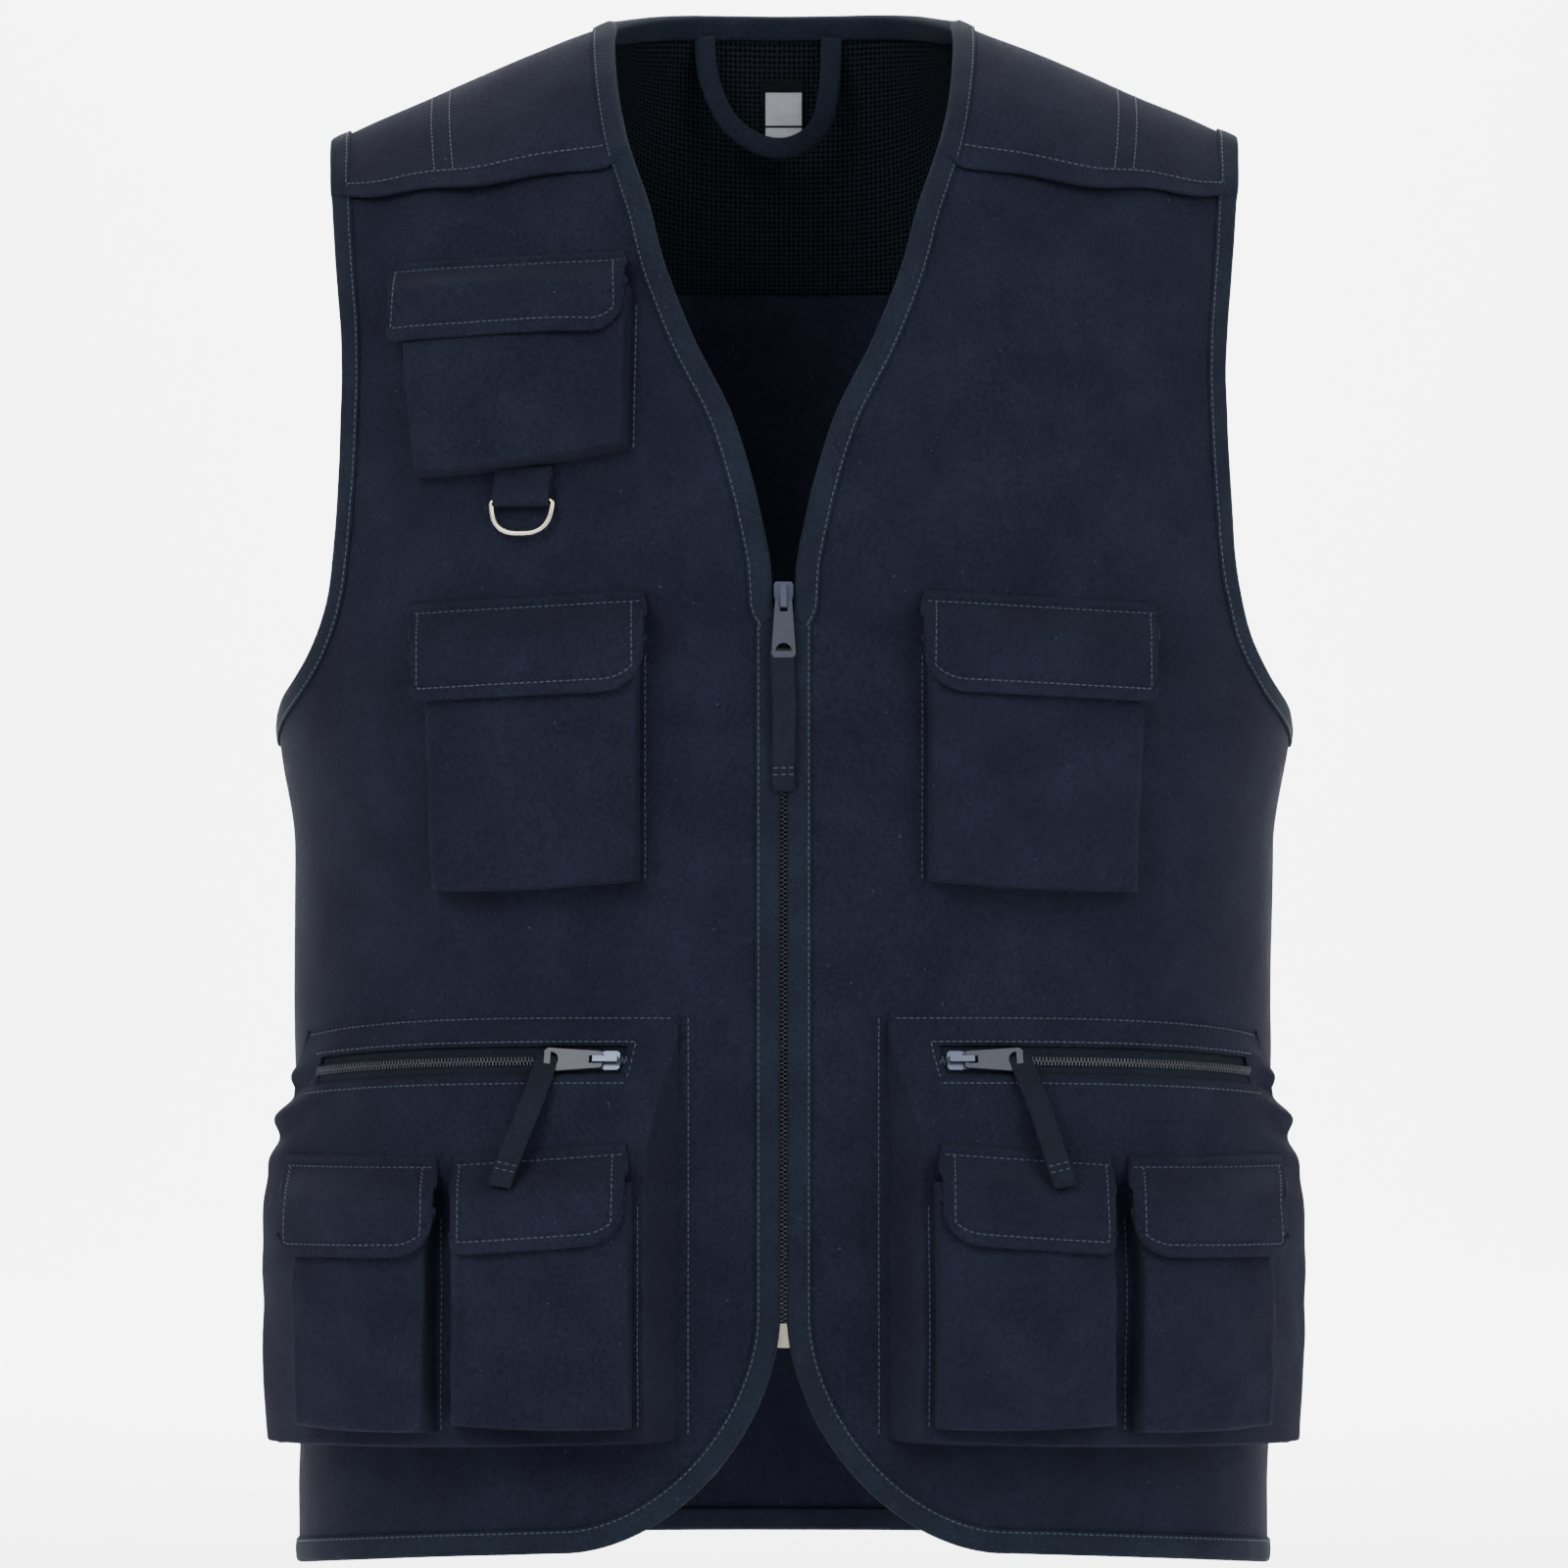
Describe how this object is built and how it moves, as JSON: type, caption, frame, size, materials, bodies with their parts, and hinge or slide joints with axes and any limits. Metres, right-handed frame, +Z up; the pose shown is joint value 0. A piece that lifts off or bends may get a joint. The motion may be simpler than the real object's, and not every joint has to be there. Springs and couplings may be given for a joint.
{
  "type": "utility work vest",
  "caption": "Navy cotton twill utility vest, zipped up as worn: V neck, bound edges, shoulder yoke, flapped chest pockets, zipped bellows pockets low down, and a D-ring tab.",
  "frame": {"origin": "between the shoulders, level with the shoulder line beside the neck, where the vest sits on its wearer", "axes": "+Z up, -Y the front, +X the wearer's left"},
  "size_m": [0.4644, 0.2887, 0.7057],
  "materials": {
    "twill": "matte navy cotton twill",
    "binding": "matte navy woven tape",
    "zip": "dark woven zip tape and webbing",
    "puller": "satin slate grey enamel",
    "nickel": "bright plated metal",
    "lining": "dark polyester mesh",
    "label": "plain dark woven label, no text"
  },
  "bodies": {
    "vest": {"front_panel_left": "twill", "front_panel_right": "twill", "back_panel": "twill", "shoulder_yoke": "twill", "upper_pouch": "twill", "upper_flap": "twill", "ring_tab": "twill", "chest_pouch_left": "twill", "chest_pouch_right": "twill", "chest_flap_left": "twill", "chest_flap_right": "twill", "bellows_pouch_left": "twill", "bellows_pouch_right": "twill", "inner_pouch_left": "twill", "inner_pouch_right": "twill", "inner_flap_left": "twill", "inner_flap_right": "twill", "outer_pouch_left": "twill", "outer_pouch_right": "twill", "outer_flap_left": "twill", "outer_flap_right": "twill", "armhole_binding_left": "binding", "armhole_binding_right": "binding", "neck_binding": "binding", "back_hem_binding": "binding", "hanger_loop": "binding", "front_binding_left": "binding", "front_binding_right": "binding", "mesh_lining": "lining", "zip_tape_left": "zip", "zip_tape_right": "zip", "bellows_zip_left": "zip", "bellows_zip_right": "zip", "zip_chain": "nickel", "zip_slider": "nickel", "zip_box": "nickel", "bellows_slider_left": "nickel", "bellows_slider_right": "nickel", "neck_label": "label"},
    "main_pull": {"zip_puller": "nickel", "zip_pull_tape": "zip"},
    "left_pull": {"bellows_puller_left": "puller", "bellows_pull_tape_left": "zip"},
    "right_pull": {"bellows_puller_right": "puller", "bellows_pull_tape_right": "zip"},
    "ring": {"d_ring": "nickel"}
  },
  "joints": [
    {"name": "main_pull_swing", "type": "hinge", "parent": "vest", "child": "main_pull", "pos_m": [0, -0.1374, -0.26239], "axis": [-1, 0, 0], "range_deg": [0, 130]},
    {"name": "left_pull_swing", "type": "hinge", "parent": "vest", "child": "left_pull", "pos_m": [0.07942, -0.13416, -0.46232], "axis": [0.0473, -0.3146, -0.948], "range_deg": [0, 105]},
    {"name": "right_pull_swing", "type": "hinge", "parent": "vest", "child": "right_pull", "pos_m": [-0.07942, -0.13416, -0.46232], "axis": [0.0473, 0.3146, 0.948], "range_deg": [0, 105]},
    {"name": "d_ring_swing", "type": "hinge", "parent": "vest", "child": "ring", "pos_m": [-0.1143, -0.11917, -0.21844], "axis": [-0.9642, 0.2653, 0.0003], "range_deg": [0, 120]}
  ]
}
